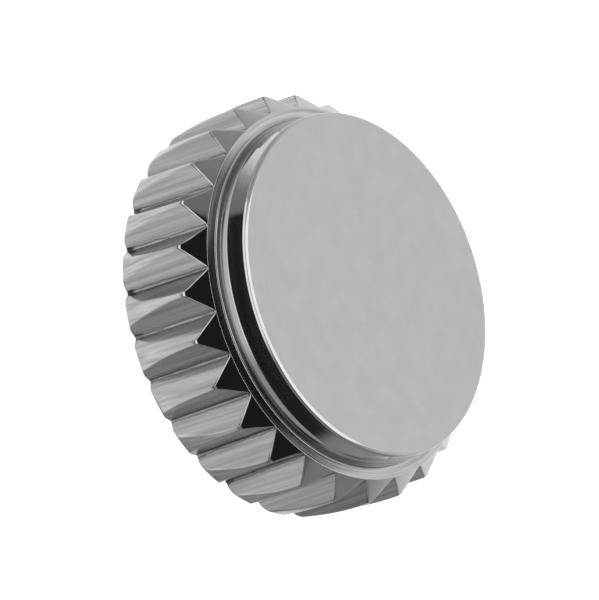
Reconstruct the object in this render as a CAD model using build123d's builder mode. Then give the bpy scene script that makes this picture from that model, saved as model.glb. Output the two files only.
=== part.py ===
from build123d import *
import os
from math import cos, pi, radians, sin, sqrt, tan

# Screw-down watch crown with its case tube, in millimetres.
# +Z is the crown's axis, from the watch case out to the polished face. Z = 0 is the case seat,
# the plane where the tube's flange meets the case, and the crown is screwed down.

os.makedirs("parts", exist_ok=True)

# Head, sizes of the outside
crown_diameter = 7.0
head_height = 2.40
boss_edge_round = 0.05
shelf_width = 0.233
shelf_depth = 0.63
foot_flare_height = 0.24
foot_flare_width = 0.05
bevel_depth = 0.33
crest_depth = 1.12
barrel_curve = 7.0
rear_round = 0.13

# Head, flutes
tooth_count = 27
tooth_height = 0.327
flute_angle = 104.0
flute_floor_round = 0.05
flute_floor_above_lip = 0.01
flute_floor_rise = 0.05
flute_overrun = 0.12
first_tooth_angle = -90.0

# Head, inside
skirt_gap = 0.15
skirt_mouth_chamfer = 0.08
ceiling_thickness = 0.50
pipe_seat_depth = 0.20

# Crown thread, between the sleeve and the tube
crown_thread_pitch = 0.35
crown_thread_depth_share = 0.4
tube_crest_share = 0.28
sleeve_crest_share = 0.17
thread_flank_angle = 30.0
thread_clearance = 0.04

# Threaded sleeve
sleeve_wall = 0.18
sleeve_bottom_gap = 0.04
sleeve_seal_clearance = 0.05

# Centre pipe, bush, spring and stem holder
stem_hole_diameter = 0.74
shank_wall = 0.155
shank_corner_rise = 0.165
square_clearance = 0.03
bush_wall = 0.06
pipe_wall = 0.22
pipe_reach_below_seat = 1.0
bush_length = 0.35
bush_lip_thickness = 0.10
piston_head_thickness = 0.20
piston_head_clearance = 0.04
piston_reach = 0.80
piston_pilot_height = 0.25
piston_pilot_clearance = 0.14
stem_hole_depth = 1.0
stem_hole_chamfer = 0.05
rest_gap = 0.01
spring_wire = 0.14
spring_active_turns = 6
spring_wall_clearance = 0.05
spring_seat_thickness = 0.08
spring_seat_clearance = 0.005
spring_seat_hole = 0.60

# Seals
head_gasket_thickness = 0.21
gasket_edge_clearance = 0.02
slip_washer_thickness = 0.08
slip_washer_clearance = 0.04
tube_seal_section = 0.37
tube_seal_pipe_clearance = 0.02
seal_side_clearance = 0.01
spacer_thickness = 0.12
retaining_ring_thickness = 0.24
neck_seal_section = 0.34
case_seal_section = 0.16
case_seal_groove_depth = 0.10

# Case tube
flange_diameter = 4.30
flange_edge_gap = 0.17
flange_thickness = 0.26
flange_chamfer = 0.04
neck_wall = 0.33
tube_lip_height = 0.04
pipe_running_clearance = 0.03
ring_seat_step = 0.10
tube_wall = 0.36
case_thread_wall = 0.181
case_thread_pitch = 0.35
case_thread_length = 1.45
case_thread_depth_share = 0.54
case_crest_share = 0.17
register_step = 0.05
register_length = 0.45
spline_count = 6
spline_width = 0.24
spline_depth = 0.10
spline_top = 0.20

# Heights worked out along the axis
skirt_z = skirt_gap
face_z = skirt_gap + head_height
shelf_z = face_z - shelf_depth
ceiling_z = face_z - ceiling_thickness
pipe_top_z = ceiling_z + pipe_seat_depth
gasket_z = ceiling_z - head_gasket_thickness
washer_z = gasket_z - rest_gap - slip_washer_thickness
tube_top_z = washer_z - rest_gap
crown_thread_top_z = tube_top_z - tube_lip_height
crown_thread_bottom_z = flange_thickness + neck_seal_section + seal_side_clearance * 2
sleeve_bottom_z = flange_thickness + sleeve_bottom_gap
pipe_end_z = -pipe_reach_below_seat
bush_end_z = pipe_end_z - bush_lip_thickness
bush_top_z = pipe_end_z + bush_length
piston_head_z = bush_top_z + rest_gap
spring_bottom_z = piston_head_z + piston_head_thickness
spring_top_z = pipe_top_z - spring_seat_thickness
piston_end_z = bush_end_z - piston_reach

# Radii of the head's outside, worked out inwards from its rim
crown_radius = crown_diameter / 2
lip_radius = crown_radius - tooth_height
boss_radius = lip_radius - shelf_width

# Radii of the inside, worked out wall by wall from the stem hole outwards
square_width = stem_hole_diameter + shank_wall * 2
shank_corner_radius = square_width / 2 + shank_corner_rise
bush_corner_radius = shank_corner_radius + square_clearance
pipe_bore_radius = bush_corner_radius + bush_wall
pipe_radius = pipe_bore_radius + pipe_wall
tube_bore_radius = pipe_radius + pipe_running_clearance
case_root_radius = tube_bore_radius + spline_depth + case_thread_wall
case_thread_radius = case_root_radius + case_thread_pitch * case_thread_depth_share
register_radius = case_thread_radius + register_step
seal_inner_radius = pipe_radius + tube_seal_pipe_clearance
cavity_radius = seal_inner_radius + tube_seal_section + seal_side_clearance
ring_seat_radius = cavity_radius + ring_seat_step
neck_radius = cavity_radius + neck_wall
thread_root_radius = ring_seat_radius + tube_wall
thread_radius = thread_root_radius + crown_thread_pitch * crown_thread_depth_share
sleeve_crest_radius = thread_root_radius + thread_clearance
sleeve_root_radius = thread_radius + thread_clearance
seal_pocket_radius = neck_radius + neck_seal_section + sleeve_seal_clearance
sleeve_radius = seal_pocket_radius + sleeve_wall
flange_radius = flange_diameter / 2
skirt_mouth_radius = flange_radius + flange_edge_gap


def barrel_radius(depth):
    """Radius of the barrel-shaped blank at a depth below the polished face."""
    return crown_radius - barrel_curve + sqrt(barrel_curve**2 - (depth - crest_depth) ** 2)


def turn_ring(inner_radius, outer_radius, bottom_z, top_z):
    """Turn a plain ring on the axis, in the part being built."""
    with BuildSketch(Plane.XY.offset(bottom_z)) as section:
        Circle(outer_radius)
        Circle(inner_radius, mode=Mode.SUBTRACT)
    extrude(to_extrude=section.sketch, amount=top_z - bottom_z)


def mould_seal(inner_radius, section_diameter, bottom_z):
    """Mould a round-section sealing ring on the axis, in the part being built."""
    section_radius = section_diameter / 2
    with BuildSketch(Plane.XZ) as section:
        with Locations((inner_radius + section_radius, bottom_z + section_radius)):
            Circle(section_radius)
    revolve(profiles=section.sketch, axis=Axis.Z)


# A ridge is sunk into its wall by this share of its height, so that the two join
ridge_sink_share = 0.25


def screw_ridge(root_radius, crest_radius, crest_flat, pitch, bottom_z, top_z, phase_z):
    """A helical thread ridge that stands on a wall, cut off square at both ends."""
    rise = crest_radius - root_radius
    sunk_radius = root_radius - rise * ridge_sink_share
    crest_half = crest_flat / 2
    foot_half = crest_half + abs(crest_radius - sunk_radius) * tan(radians(thread_flank_angle))
    start_z = bottom_z - pitch + phase_z
    overall = top_z - bottom_z + pitch + pitch
    with BuildPart() as ridge:
        with BuildLine() as path:
            Helix(pitch=pitch, height=overall, radius=root_radius, center=(0, 0, start_z))
        with BuildSketch(Plane(origin=(0, 0, start_z), x_dir=(1, 0, 0), z_dir=(0, -1, 0))):
            with BuildLine():
                Polyline(
                    (sunk_radius, -foot_half),
                    (crest_radius, -crest_half),
                    (crest_radius, crest_half),
                    (sunk_radius, foot_half),
                    close=True,
                )
            make_face()
        sweep(path=path.line, is_frenet=True)
        split(bisect_by=Plane.XY.offset(bottom_z), keep=Keep.TOP)
        split(bisect_by=Plane.XY.offset(top_z), keep=Keep.BOTTOM)
    return ridge.part


# Head blank: turned in one piece with its face, shelf, lip, bevel, barrel and recess
bevel_end_depth = shelf_depth + bevel_depth
barrel_end_depth = head_height - rear_round
barrel_middle_depth = (bevel_end_depth + barrel_end_depth) / 2
skirt_radius = barrel_radius(barrel_end_depth)
rear_round_middle = rear_round * sqrt(1 / 2)
edge_round_middle = boss_edge_round * sqrt(1 / 2)
with BuildPart() as head_blank:
    with BuildSketch(Plane.XZ):
        with BuildLine():
            Line((0, face_z), (boss_radius - boss_edge_round, face_z))
            ThreePointArc(
                (boss_radius - boss_edge_round, face_z),
                (
                    boss_radius - boss_edge_round + edge_round_middle,
                    face_z - boss_edge_round + edge_round_middle,
                ),
                (boss_radius, face_z - boss_edge_round),
            )
            Polyline(
                (boss_radius, face_z - boss_edge_round),
                (boss_radius, shelf_z + foot_flare_height),
                (boss_radius + foot_flare_width, shelf_z),
                (lip_radius, shelf_z),
                (barrel_radius(bevel_end_depth), face_z - bevel_end_depth),
            )
            ThreePointArc(
                (barrel_radius(bevel_end_depth), face_z - bevel_end_depth),
                (barrel_radius(barrel_middle_depth), face_z - barrel_middle_depth),
                (skirt_radius, face_z - barrel_end_depth),
            )
            ThreePointArc(
                (skirt_radius, skirt_z + rear_round),
                (
                    skirt_radius - rear_round + rear_round_middle,
                    skirt_z + rear_round - rear_round_middle,
                ),
                (skirt_radius - rear_round, skirt_z),
            )
            Polyline(
                (skirt_radius - rear_round, skirt_z),
                (skirt_mouth_radius + skirt_mouth_chamfer, skirt_z),
                (skirt_mouth_radius, skirt_z + skirt_mouth_chamfer),
                (skirt_mouth_radius, sleeve_bottom_z),
                (sleeve_radius, sleeve_bottom_z),
                (sleeve_radius, ceiling_z),
                (pipe_radius, ceiling_z),
                (pipe_radius, pipe_top_z),
                (0, pipe_top_z),
                (0, face_z),
            )
        make_face()
    revolve(axis=Axis.Z)

# Flute cutter: one V with a rounded floor, run along a floor line that rises to the rear
flute_half_angle = radians(flute_angle / 2)
flute_cut_height = tooth_height + flute_overrun
flute_half_width = flute_cut_height * tan(flute_half_angle)
flute_sharp_drop = flute_floor_round * (1 / sin(flute_half_angle) - 1)
flute_front_radius = lip_radius + flute_floor_above_lip - flute_sharp_drop
flute_run = shelf_z - skirt_z
flute_plane = Plane(
    origin=(flute_front_radius, 0, shelf_z),
    x_dir=(0, 1, 0),
    z_dir=(flute_floor_rise, 0, -flute_run),
)
with BuildPart() as flute_cutter:
    with BuildSketch(flute_plane) as flute_section:
        with BuildLine():
            Polyline(
                (0, 0),
                (flute_half_width, flute_cut_height),
                (-flute_half_width, flute_cut_height),
                close=True,
            )
        make_face()
        fillet(flute_section.vertices().sort_by(Axis.X)[0], radius=flute_floor_round)
    extrude(amount=flute_run + flute_cut_height)
    extrude(to_extrude=flute_section.sketch, amount=-flute_cut_height)

# Fluted head: the blank with a flute cut between each two teeth
full_turn_angle = 360.0
first_flute_angle = first_tooth_angle + full_turn_angle / tooth_count / 2
with BuildPart() as fluted_head:
    add(head_blank.part)
    with PolarLocations(0, tooth_count, start_angle=first_flute_angle):
        add(flute_cutter.part, mode=Mode.SUBTRACT)
fluted_head.part.label = "fluted_head"
export_step(fluted_head.part, "parts/fluted_head.step")

# Threaded sleeve: pressed into the head, with the crown's own thread inside
sleeve_ridge = screw_ridge(
    sleeve_root_radius,
    sleeve_crest_radius,
    crown_thread_pitch * sleeve_crest_share,
    crown_thread_pitch,
    crown_thread_bottom_z,
    crown_thread_top_z,
    crown_thread_pitch / 2,
)
with BuildPart() as threaded_sleeve:
    with BuildSketch(Plane.XZ):
        with BuildLine():
            Polyline(
                (sleeve_root_radius, crown_thread_bottom_z),
                (seal_pocket_radius, crown_thread_bottom_z),
                (seal_pocket_radius, sleeve_bottom_z),
                (sleeve_radius, sleeve_bottom_z),
                (sleeve_radius, gasket_z),
                (sleeve_root_radius, gasket_z),
                close=True,
            )
        make_face()
    revolve(axis=Axis.Z)
    add(sleeve_ridge)
threaded_sleeve.part.label = "threaded_sleeve"
export_step(threaded_sleeve.part, "parts/threaded_sleeve.step")

# Centre pipe: pressed into the head's ceiling
with BuildPart() as core_pipe:
    turn_ring(pipe_bore_radius, pipe_radius, pipe_end_z, pipe_top_z)
core_pipe.part.label = "core_pipe"
export_step(core_pipe.part, "parts/core_pipe.step")

# End bush: closes the pipe round the square shank, which it drives and keeps in. The square hole
# has corners cut to a circle, as the shank has, which is milled square from round bar.
bush_hole_width = square_width + square_clearance * 2
with BuildPart() as end_bush:
    with BuildSketch(Plane.XY.offset(bush_end_z)):
        Circle(pipe_radius)
    extrude(amount=bush_lip_thickness)
    with BuildSketch(Plane.XY.offset(pipe_end_z)):
        Circle(pipe_bore_radius)
    extrude(amount=bush_length)
    with BuildSketch(Plane.XY.offset(bush_end_z)):
        Rectangle(bush_hole_width, bush_hole_width)
        Circle(bush_corner_radius, mode=Mode.INTERSECT)
    extrude(amount=bush_lip_thickness + bush_length, mode=Mode.SUBTRACT)
end_bush.part.label = "end_bush"
export_step(end_bush.part, "parts/end_bush.step")

# Spring seat: the thin disc at the blind end of the pipe
with BuildPart() as spring_seat:
    turn_ring(
        spring_seat_hole / 2, pipe_bore_radius - spring_seat_clearance, spring_top_z, pipe_top_z
    )
spring_seat.part.label = "spring_seat"
export_step(spring_seat.part, "parts/spring_seat.step")

# Stem holder: round head in the pipe, square shank through the bush, tapped hole for the stem,
# and a pilot that the spring stands round
spring_radius = pipe_bore_radius - spring_wall_clearance - spring_wire / 2
piston_pilot_radius = spring_radius - spring_wire / 2 - piston_pilot_clearance
with BuildPart() as stem_piston:
    with BuildSketch(Plane.XY.offset(piston_end_z)):
        Rectangle(square_width, square_width)
        Circle(shank_corner_radius, mode=Mode.INTERSECT)
    extrude(amount=piston_head_z - piston_end_z)
    with BuildSketch(Plane.XY.offset(piston_head_z)):
        Circle(pipe_bore_radius - piston_head_clearance)
    extrude(amount=piston_head_thickness)
    with BuildSketch(Plane.XY.offset(spring_bottom_z)):
        Circle(piston_pilot_radius)
    extrude(amount=piston_pilot_height)
    with BuildSketch(Plane.XY.offset(piston_end_z)):
        Circle(stem_hole_diameter / 2)
    extrude(amount=stem_hole_depth, mode=Mode.SUBTRACT)
    hole_mouth = stem_piston.edges().filter_by(GeomType.CIRCLE).group_by(Axis.Z)[0]
    chamfer(hole_mouth.sort_by(SortBy.RADIUS)[0], length=stem_hole_chamfer)
stem_piston.part.label = "stem_piston"
export_step(stem_piston.part, "parts/stem_piston.step")

# Return spring: one wire with closed ends, a quarter turn at a time along a helix
closed_pitch_share = 1.12
spring_length = spring_top_z - spring_bottom_z - spring_wire
closed_pitch = spring_wire * closed_pitch_share
open_pitch = (spring_length - closed_pitch * 2) / spring_active_turns
last_open_turn = 1 + spring_active_turns
total_turns = last_open_turn + 1
turn_radians = pi * 2


def spring_point(turns):
    """Place on the wire's centre line after a number of turns from the bottom end."""
    height = closed_pitch * min(turns, 1)
    height += open_pitch * min(max(turns - 1, 0), spring_active_turns)
    height += closed_pitch * max(turns - last_open_turn, 0)
    angle = turns * turn_radians
    start_z = spring_bottom_z + spring_wire / 2
    return Vector(spring_radius * cos(angle), spring_radius * sin(angle), start_z + height)


def spring_direction(turns):
    """Unit tangent of the wire, with the mean of the two pitches where they meet."""
    if turns in (1, last_open_turn):
        pitch_here = (closed_pitch + open_pitch) / 2
    elif 1 < turns < last_open_turn:
        pitch_here = open_pitch
    else:
        pitch_here = closed_pitch
    angle = turns * turn_radians
    rise = pitch_here / turn_radians
    return Vector(-spring_radius * sin(angle), spring_radius * cos(angle), rise).normalized()


def biarc_join(start, start_direction, end, end_direction):
    """Point where two arcs, tangent to the ends' directions, meet with one tangent."""
    chord = end - start
    a = 2 * (1 - start_direction.dot(end_direction))
    b = 2 * chord.dot(start_direction + end_direction)
    c = -chord.dot(chord)
    reach = (-b + sqrt(b * b - 4 * a * c)) / (2 * a)
    return (start + start_direction * reach + end - end_direction * reach) / 2


arcs_per_turn = 4
turn_marks = [step / arcs_per_turn for step in range(total_turns * arcs_per_turn + 1)]
with BuildPart() as return_spring:
    with BuildLine() as spring_path:
        for turn_start, turn_end in zip(turn_marks, turn_marks[1:]):
            arc_start = spring_point(turn_start)
            arc_end = spring_point(turn_end)
            leave = spring_direction(turn_start)
            arrive = spring_direction(turn_end)
            join = biarc_join(arc_start, leave, arc_end, arrive)
            first_arc = TangentArc(arc_start, join, tangent=leave)
            TangentArc(join, arc_end, tangent=first_arc % 1)
    with BuildSketch(Plane(origin=spring_point(0), z_dir=spring_direction(0))):
        Circle(spring_wire / 2)
    sweep(path=spring_path.line)
return_spring.part.label = "return_spring"
export_step(return_spring.part, "parts/return_spring.step")

# Head gasket, clamped by the sleeve
with BuildPart() as head_gasket:
    turn_ring(
        pipe_radius + gasket_edge_clearance,
        sleeve_radius - gasket_edge_clearance,
        gasket_z,
        ceiling_z,
    )
head_gasket.part.label = "head_gasket"
export_step(head_gasket.part, "parts/head_gasket.step")

# Slip washer: loose between the gasket and the tube, so that the gasket isn't twisted
with BuildPart() as slip_washer:
    turn_ring(
        pipe_radius + slip_washer_clearance,
        sleeve_root_radius - slip_washer_clearance,
        washer_z,
        washer_z + slip_washer_thickness,
    )
slip_washer.part.label = "slip_washer"
export_step(slip_washer.part, "parts/slip_washer.step")

# Case tube: case thread, plain register, flange with a seal groove halfway across its seat, neck,
# crown thread, and the stepped bore for the seals
ring_seat_z = tube_top_z - retaining_ring_thickness
upper_seal_z = ring_seat_z - seal_side_clearance - tube_seal_section
spacer_z = upper_seal_z - seal_side_clearance / 2 - spacer_thickness
lower_seal_z = spacer_z - seal_side_clearance / 2 - tube_seal_section
case_groove_middle = (register_radius + flange_radius - flange_chamfer) / 2
case_groove_half_width = case_seal_section / 2 + seal_side_clearance
case_thread_top_z = -register_length
crown_ridge = screw_ridge(
    thread_root_radius,
    thread_radius,
    crown_thread_pitch * tube_crest_share,
    crown_thread_pitch,
    crown_thread_bottom_z,
    crown_thread_top_z,
    0,
)
case_ridge = screw_ridge(
    case_root_radius,
    case_thread_radius,
    case_thread_pitch * case_crest_share,
    case_thread_pitch,
    -case_thread_length,
    case_thread_top_z,
    0,
)
with BuildPart() as case_tube:
    with BuildSketch(Plane.XZ):
        with BuildLine():
            Polyline(
                (tube_bore_radius, -case_thread_length),
                (case_root_radius, -case_thread_length),
                (case_root_radius, case_thread_top_z),
                (register_radius, case_thread_top_z),
                (register_radius, 0),
                (case_groove_middle - case_groove_half_width, 0),
                (case_groove_middle - case_groove_half_width, case_seal_groove_depth),
                (case_groove_middle + case_groove_half_width, case_seal_groove_depth),
                (case_groove_middle + case_groove_half_width, 0),
                (flange_radius - flange_chamfer, 0),
                (flange_radius, flange_chamfer),
                (flange_radius, flange_thickness - flange_chamfer),
                (flange_radius - flange_chamfer, flange_thickness),
                (neck_radius, flange_thickness),
                (neck_radius, crown_thread_bottom_z),
                (thread_root_radius, crown_thread_bottom_z),
                (thread_root_radius, tube_top_z),
                (ring_seat_radius, tube_top_z),
                (ring_seat_radius, ring_seat_z),
                (cavity_radius, ring_seat_z),
                (cavity_radius, lower_seal_z),
                (tube_bore_radius, lower_seal_z),
                close=True,
            )
        make_face()
    revolve(axis=Axis.Z)
    add(crown_ridge)
    add(case_ridge)
    with BuildSketch(Plane.XY.offset(-case_thread_length)):
        with PolarLocations(tube_bore_radius, spline_count):
            Rectangle(spline_depth * 2, spline_width)
    extrude(amount=case_thread_length + spline_top, mode=Mode.SUBTRACT)
case_tube.part.label = "case_tube"
export_step(case_tube.part, "parts/case_tube.step")

# The two seals that run on the pipe, and the spacer between them
with BuildPart() as tube_o_ring_lower:
    mould_seal(seal_inner_radius, tube_seal_section, lower_seal_z)
tube_o_ring_lower.part.label = "tube_o_ring_lower"
export_step(tube_o_ring_lower.part, "parts/tube_o_ring_lower.step")

with BuildPart() as tube_o_ring_upper:
    mould_seal(seal_inner_radius, tube_seal_section, upper_seal_z)
tube_o_ring_upper.part.label = "tube_o_ring_upper"
export_step(tube_o_ring_upper.part, "parts/tube_o_ring_upper.step")

with BuildPart() as tube_spacer:
    turn_ring(
        seal_inner_radius + seal_side_clearance,
        cavity_radius - seal_side_clearance,
        spacer_z,
        spacer_z + spacer_thickness,
    )
tube_spacer.part.label = "tube_spacer"
export_step(tube_spacer.part, "parts/tube_spacer.step")

# Retaining ring: pressed into the tube's mouth over the seals
with BuildPart() as tube_retaining_ring:
    turn_ring(tube_bore_radius + seal_side_clearance, ring_seat_radius, ring_seat_z, tube_top_z)
tube_retaining_ring.part.label = "tube_retaining_ring"
export_step(tube_retaining_ring.part, "parts/tube_retaining_ring.step")

# Outer seals: one on the tube's neck, and one in the flange's groove, proud of the seat
with BuildPart() as neck_o_ring:
    mould_seal(
        neck_radius + seal_side_clearance,
        neck_seal_section,
        flange_thickness + seal_side_clearance,
    )
neck_o_ring.part.label = "neck_o_ring"
export_step(neck_o_ring.part, "parts/neck_o_ring.step")

with BuildPart() as case_gasket:
    mould_seal(
        case_groove_middle - case_seal_section / 2,
        case_seal_section,
        case_seal_groove_depth - case_seal_section,
    )
case_gasket.part.label = "case_gasket"
export_step(case_gasket.part, "parts/case_gasket.step")

# What the joints use, and the spring's least gap between one turn and the next
points_per_turn = 24
wire_points = [
    spring_point(step / points_per_turn) for step in range(total_turns * points_per_turn + 1)
]
least_spring_gap = min(
    (far - near).length - spring_wire
    for index, near in enumerate(wire_points)
    for far in wire_points[index + points_per_turn // 2 :]
)
engaged_turns = (crown_thread_top_z - crown_thread_bottom_z) / crown_thread_pitch
print("case thread diameter, mm", case_thread_radius * 2)
print("crown thread diameter, mm", thread_radius * 2, "turns engaged", engaged_turns)
print("piston stroke to solid, mm", spring_length - spring_wire * (total_turns + 1))
print("spring's least gap to itself, mm", least_spring_gap)
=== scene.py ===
# %% [markdown]
# # A screw-down watch crown
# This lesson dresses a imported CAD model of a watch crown: the fluted steel head that the wearer
# turns, the short case tube it screws down on, and the sprung holder that grips the winding stem.
# The CAD model is the frame. It fixes where everything is and how it moves, and the script builds
# finer surfaces and real finishes in the same place. Blender counts in metres, so sizes that a
# maker writes in millimetres are multiplied by `mm`.

# %% Load the frame
from math import asin, atan2, cos, degrees, pi, radians, sin, sqrt, tan

import bmesh
import bpy
from mathutils import Matrix, Vector


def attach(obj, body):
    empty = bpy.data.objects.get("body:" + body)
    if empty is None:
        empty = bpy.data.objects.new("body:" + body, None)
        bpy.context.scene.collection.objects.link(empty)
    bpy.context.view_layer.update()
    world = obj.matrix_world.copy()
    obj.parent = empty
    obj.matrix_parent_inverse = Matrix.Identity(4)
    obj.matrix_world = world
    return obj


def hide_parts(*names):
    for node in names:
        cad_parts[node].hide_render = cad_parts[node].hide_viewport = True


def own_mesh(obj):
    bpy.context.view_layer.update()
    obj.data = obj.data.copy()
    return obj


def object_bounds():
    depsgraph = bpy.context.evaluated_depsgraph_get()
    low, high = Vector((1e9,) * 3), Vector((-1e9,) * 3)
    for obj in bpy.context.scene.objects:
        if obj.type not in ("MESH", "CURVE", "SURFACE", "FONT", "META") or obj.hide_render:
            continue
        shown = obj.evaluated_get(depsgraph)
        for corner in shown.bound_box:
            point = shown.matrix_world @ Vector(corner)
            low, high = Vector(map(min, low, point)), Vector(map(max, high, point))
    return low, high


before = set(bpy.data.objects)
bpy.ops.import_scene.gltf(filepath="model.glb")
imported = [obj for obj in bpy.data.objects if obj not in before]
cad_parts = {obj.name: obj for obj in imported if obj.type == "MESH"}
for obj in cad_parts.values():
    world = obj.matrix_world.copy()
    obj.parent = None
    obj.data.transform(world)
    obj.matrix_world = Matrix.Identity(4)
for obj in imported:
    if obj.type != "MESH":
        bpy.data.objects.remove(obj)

mm = 0.001
cad_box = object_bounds()
print("CAD box, mm", [round(c / mm, 3) for corner in cad_box for c in corner])

# %% [markdown]
# ## The camera
# The photograph looks at the crown from 39.5 degrees above its rim, from far away with a long
# lens. In the picture the axis leans almost level to the right, so the camera is rolled. Tilting
# the object instead would take it away from the CAD model, and tilt every other view of it too.

# %% Camera
image_width = 599
image_height = 600
view_elevation = radians(39.54)
axis_lean = radians(18.81)
sensor_size = 36.0
pixels_per_focal = 14286
camera_distance = 235.7 * mm
face_z = 2.55 * mm
face_pixel_x = 367.1
face_pixel_y = 283.7

to_camera = Vector((0, -cos(view_elevation), sin(view_elevation)))
level_right = Vector((1, 0, 0))
level_up = Vector((0, sin(view_elevation), cos(view_elevation)))
roll = pi / 2 - axis_lean
image_right = level_right * cos(roll) + level_up * sin(roll)
image_up = level_up * cos(roll) - level_right * sin(roll)
metres_per_pixel = camera_distance / pixels_per_focal
offset_right = (face_pixel_x - image_width / 2) * metres_per_pixel
offset_up = (image_height / 2 - face_pixel_y) * metres_per_pixel

camera_data = bpy.data.cameras.new("photo_camera")
camera_data.sensor_width = sensor_size
camera_data.lens = pixels_per_focal * sensor_size / max(image_width, image_height)
camera_data.clip_start = 1 * mm
camera_data.clip_end = 10
camera = bpy.data.objects.new("photo_camera", camera_data)
bpy.context.scene.collection.objects.link(camera)
bpy.context.scene.camera = camera
camera_place = Vector((0, 0, face_z)) + to_camera * camera_distance
camera_place -= image_right * offset_right + image_up * offset_up
camera_turn = Matrix((image_right, image_up, to_camera)).transposed().to_4x4()
camera.matrix_world = Matrix.Translation(camera_place) @ camera_turn
print("lens, mm", round(camera_data.lens, 1))

# %% [markdown]
# ## Turned pieces
# Nearly every piece of a crown comes off a lathe. In Blender the same thing is an outline of half
# the piece, spun round the axis with `bmesh.ops.spin`. Each corner of the outline is cut to a small
# curve first: a real edge always has a small round that catches the light, and a mirror-like metal
# shows at once where it is missing.

# %% Lathe
lathe_steps = 180
corner_round = 0.012 * mm
corner_limit = 0.4
curve_shares = (0.0, 0.33, 0.67, 1.0)


def rounded(outline, size=corner_round):
    """A closed outline of (radius, height) points with each corner cut to a small curve."""
    made = []
    for index, point in enumerate(outline):
        here = Vector(point)
        back = Vector(outline[index - 1]) - here
        ahead = Vector(outline[(index + 1) % len(outline)]) - here
        start = here + back.normalized() * min(size, back.length * corner_limit)
        end = here + ahead.normalized() * min(size, ahead.length * corner_limit)
        for share in curve_shares:
            bend = start * (1 - share) ** 2 + here * 2 * share * (1 - share) + end * share**2
            made.append((bend.x, bend.y))
    return made


def spin(mesh, parts, turns, steps, rise=0, **options):
    """Spin parts round the axis, with a rise at each step, and give back their far end."""
    return bmesh.ops.spin(
        mesh, geom=parts, cent=(0, 0, 0), axis=(0, 0, 1), angle=2 * pi * turns, steps=steps,
        dvec=(0, 0, rise), **options,
    )["geom_last"]


def turn_outline(mesh, outline):
    """Turn a closed outline of (radius, height) points, as a lathe turns a ring."""
    points = [mesh.verts.new((radius, 0, height)) for radius, height in outline]
    sides = [mesh.edges.new(pair) for pair in zip(points, points[1:] + points[:1])]
    spin(mesh, points + sides, 1, lathe_steps, use_merge=True)


print("lathe steps", lathe_steps, "corner round, mm", round(corner_round / mm, 3))

# %% [markdown]
# ## Pieces that aren't round
# Teeth, tool grooves and squares can't be turned. They are lofted: `extrude_edge_only` grows each
# row of points from the last one, and the new points are moved to their places. Only the part that
# repeats is lofted, and a spin with `use_duplicate` copies it round the axis.

# %% Loft, and copy round
def loft_rows(mesh, rows_of_points):
    """Skin rows of points: extrude the last row's edges, then move the new points into place."""
    line = [mesh.verts.new(point) for point in rows_of_points[0]]
    edges = [mesh.edges.new(pair) for pair in zip(line, line[1:])]
    for places in rows_of_points[1:]:
        grown = bmesh.ops.extrude_edge_only(mesh, edges=edges)["geom"]
        fresh = {part for part in grown if isinstance(part, bmesh.types.BMVert)}
        next_line = []
        for old in line:
            around = [edge.other_vert(old) for edge in old.link_edges]
            next_line.append(next(point for point in around if point in fresh))
        edges = [
            part for part in grown
            if isinstance(part, bmesh.types.BMEdge) and fresh.issuperset(part.verts)
        ]
        for point, place in zip(next_line, places):
            point.co = place
        line = next_line


def copy_round(mesh, copies):
    """Copy a sector round the axis until the circle is full."""
    parts = mesh.verts[:] + mesh.edges[:] + mesh.faces[:]
    spin(mesh, parts, (copies - 1) / copies, copies - 1, use_duplicate=True)


tooth_count = 27
print("one of", tooth_count, "teeth takes", round(360 / tooth_count, 2), "degrees")

# %% [markdown]
# ## From a mesh to a piece
# Every piece ends in the same way: doubles are merged, so that seams and poles are closed, normals
# are turned outwards, the piece is told which body it rides on and which material slot it takes,
# and the CAD node it stands for is hidden. Weighted normals keep a flat face flat beside a small
# round.

# %% Finish a piece
merge_distance = 0.0002 * mm
sharp_edge = radians(40)


def merge(mesh, distance=merge_distance):
    """Merge the points of a mesh that lie on one another."""
    bmesh.ops.remove_doubles(mesh, verts=mesh.verts, dist=distance)


def new_object(name, mesh):
    """Make a finished mesh an object of the scene."""
    data = bpy.data.meshes.new(name)
    mesh.to_mesh(data)
    mesh.free()
    made = bpy.data.objects.new(name, data)
    bpy.context.scene.collection.objects.link(made)
    return made


def finish_piece(name, mesh, body, materials, nodes, sharp_angle=None):
    """Close a mesh, make it an object, attach it to its body, and hide the CAD nodes it replaces.
    """
    merge(mesh)
    bmesh.ops.recalc_face_normals(mesh, faces=mesh.faces)
    for face in mesh.faces:
        face.smooth = True
    piece = new_object(name, mesh)
    if sharp_angle is not None:
        piece.data.set_sharp_from_angle(angle=sharp_angle)
    for material in materials:
        piece.data.materials.append(material)
    piece.modifiers.new("even_normals", "WEIGHTED_NORMAL").keep_sharp = True
    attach(piece, body)
    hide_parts(*nodes)
    loose = sum(1 for edge in piece.data.edges if edge.is_loose)
    print(name, "faces", len(piece.data.polygons), "loose edges", loose)
    return piece


print("points nearer than", round(merge_distance / mm, 4), "mm are merged")

# %% [markdown]
# ## Finishes as small nets of nodes
# A finish is worked out by nodes from the place of each point on its piece: noise for what is
# uneven, a range or a ramp for how much of it shows, and a bump for its depth. A picture of a
# surface would blur close up. Each helper adds one node and wires it.

# %% Helpers for nodes


def add_node(tree, kind, values, operation=None):
    """Add one node, its inputs filled with constants or other nodes' outputs."""
    node = tree.nodes.new(kind)
    if operation:
        node.operation = operation
    for key, value in values.items():
        if isinstance(value, bpy.types.NodeSocket):
            tree.links.new(value, node.inputs[key])
        else:
            node.inputs[key].default_value = value
    return node


def calc(tree, operation, *values):
    """One sum, of constants or other nodes' outputs."""
    return add_node(tree, "ShaderNodeMath", dict(enumerate(values)), operation).outputs[0]


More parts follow.
